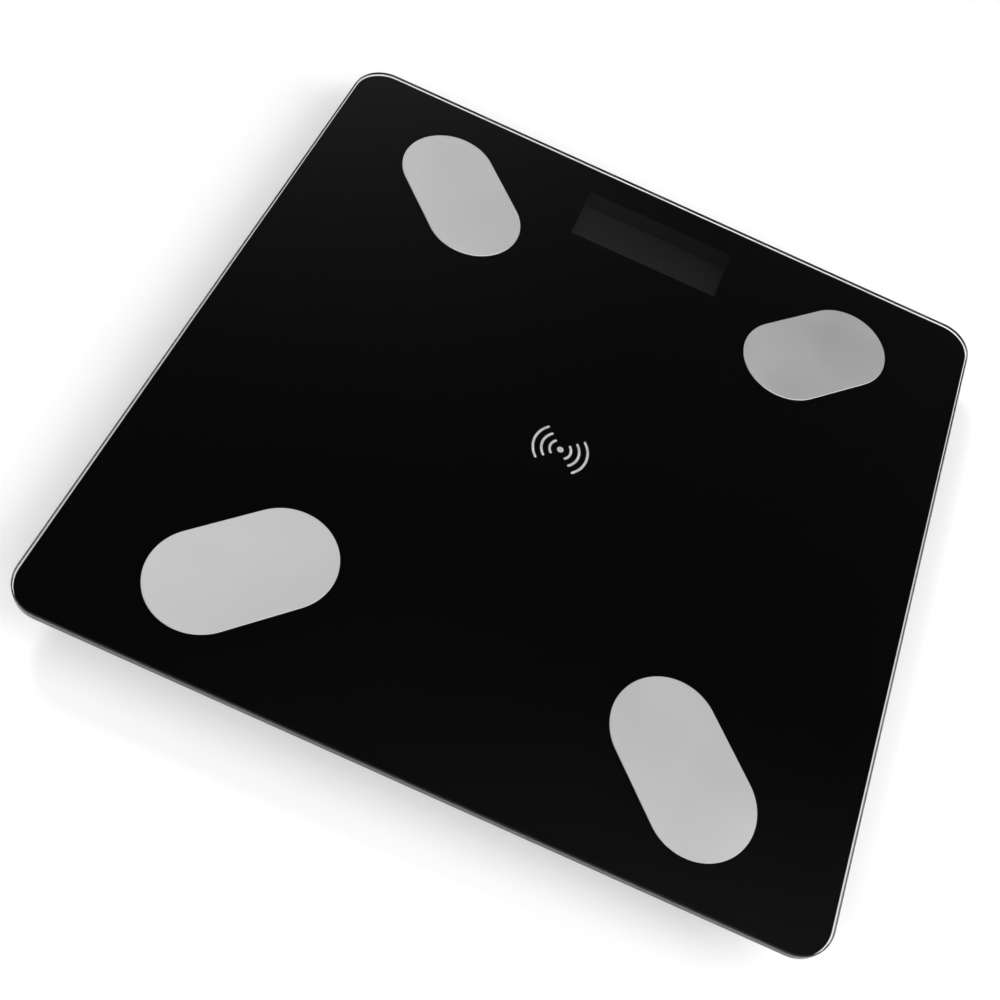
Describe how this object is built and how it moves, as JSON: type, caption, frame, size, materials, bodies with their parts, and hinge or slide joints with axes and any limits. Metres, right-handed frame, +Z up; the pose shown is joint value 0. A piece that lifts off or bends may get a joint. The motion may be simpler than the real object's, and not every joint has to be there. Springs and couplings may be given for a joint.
{
  "type": "digital bathroom scale",
  "caption": "Square bathroom scale with a black glass platform, steel electrode plates, a recessed display window, a slim plastic base and round load cell feet.",
  "frame": {"origin": "on the floor under the middle of the platform", "axes": "+Z up, +Y towards the display edge, +X to the right of a person standing on it"},
  "size_m": [0.26, 0.26, 0.0226],
  "materials": {
    "clear_glass": "polished tempered glass with ground edges",
    "black_print": "black ink printed under the glass",
    "white_ink": "light ink",
    "satin_steel": "fine satin",
    "steel_bright": "turned",
    "tinned_metal": "tinned",
    "foam_tape": "foam",
    "housing_plastic": "fine spark texture",
    "battery_wrap": "satin plastic sleeve",
    "lead_red": "satin insulation",
    "lead_grey": "satin insulation",
    "lead_white": "satin insulation",
    "circuit_board": "solder mask",
    "chip_black": "moulded epoxy",
    "radio_can": "plated",
    "socket_nylon": "natural nylon",
    "screw_steel": "zinc plated",
    "recess_plastic": "matt",
    "display_body": "matt",
    "smoked_filter": "smoked sheet",
    "button_plastic": "matt",
    "switch_body": "moulded",
    "gauge_silicone": "silicone",
    "cell_steel": "nickel plated",
    "retainer_plastic": "fine texture",
    "foot_plastic": "fine texture",
    "foot_rubber": "matt rubber"
  },
  "bodies": {
    "root": {"base_housing": "housing_plastic", "battery_1": "battery_wrap", "battery_2": "battery_wrap", "battery_leads": "lead_red", "contact_link": "tinned_metal", "contact_minus": "tinned_metal", "contact_plus": "tinned_metal", "display_filter": "smoked_filter", "display_frame": "recess_plastic", "display_panel": "display_body", "electrode_front_left": "satin_steel", "electrode_front_right": "satin_steel", "electrode_leads": "lead_grey", "electrode_pins": "steel_bright", "electrode_rear_left": "satin_steel", "electrode_rear_right": "satin_steel", "electrode_terminals": "tinned_metal", "glass_cushions": "foam_tape", "glass_plate": "clear_glass", "graphic_film": "black_print", "lead_sockets": "socket_nylon", "load_cell_front_left": "cell_steel", "load_cell_front_right": "cell_steel", "load_cell_rear_left": "cell_steel", "load_cell_rear_right": "cell_steel", "load_pad_front_left": "gauge_silicone", "load_pad_front_right": "gauge_silicone", "load_pad_rear_left": "gauge_silicone", "load_pad_rear_right": "gauge_silicone", "main_pcb": "circuit_board", "mounting_tape": "foam_tape", "pcb_chips": "chip_black", "pcb_passives": "tinned_metal", "pcb_screws": "screw_steel", "radio_module": "radio_can", "retainer_screws": "screw_steel", "sensor_lead_front_left": "lead_white", "sensor_lead_front_right": "lead_white", "sensor_lead_rear_left": "lead_white", "sensor_lead_rear_right": "lead_white", "sensor_retainer_front_left": "retainer_plastic", "sensor_retainer_front_right": "retainer_plastic", "sensor_retainer_rear_left": "retainer_plastic", "sensor_retainer_rear_right": "retainer_plastic", "strain_gauges": "gauge_silicone", "unit_switch": "switch_body", "wireless_icon": "white_ink"},
    "foot_rear_left": {"foot_shell_rear_left": "foot_plastic", "foot_pad_rear_left": "foot_rubber"},
    "foot_rear_right": {"foot_shell_rear_right": "foot_plastic", "foot_pad_rear_right": "foot_rubber"},
    "foot_front_left": {"foot_shell_front_left": "foot_plastic", "foot_pad_front_left": "foot_rubber"},
    "foot_front_right": {"foot_shell_front_right": "foot_plastic", "foot_pad_front_right": "foot_rubber"},
    "battery_door": {"battery_door": "housing_plastic"},
    "unit_button": {"unit_button": "button_plastic", "switch_plunger": "button_plastic"}
  },
  "joints": [
    {"name": "foot_press_rear_left", "type": "slide", "parent": "root", "child": "foot_rear_left", "axis": [0, 0, 1], "range_m": [0, 0.0006], "stiffness_N_per_m": 400000, "deforming": ["load_pad_rear_left"]},
    {"name": "foot_press_rear_right", "type": "slide", "parent": "root", "child": "foot_rear_right", "axis": [0, 0, 1], "range_m": [0, 0.0006], "stiffness_N_per_m": 400000, "deforming": ["load_pad_rear_right"]},
    {"name": "foot_press_front_left", "type": "slide", "parent": "root", "child": "foot_front_left", "axis": [0, 0, 1], "range_m": [0, 0.0006], "stiffness_N_per_m": 400000, "deforming": ["load_pad_front_left"]},
    {"name": "foot_press_front_right", "type": "slide", "parent": "root", "child": "foot_front_right", "axis": [0, 0, 1], "range_m": [0, 0.0006], "stiffness_N_per_m": 400000, "deforming": ["load_pad_front_right"]},
    {"name": "battery_door_hinge", "type": "hinge", "parent": "root", "child": "battery_door", "pos_m": [0, 0.05, 0.0055], "axis": [1, 0, 0], "range_deg": [0, 95]},
    {"name": "unit_button_press", "type": "slide", "parent": "root", "child": "unit_button", "axis": [0, 0, 1], "range_m": [0, 0.0003], "stiffness_N_per_m": 6000}
  ]
}
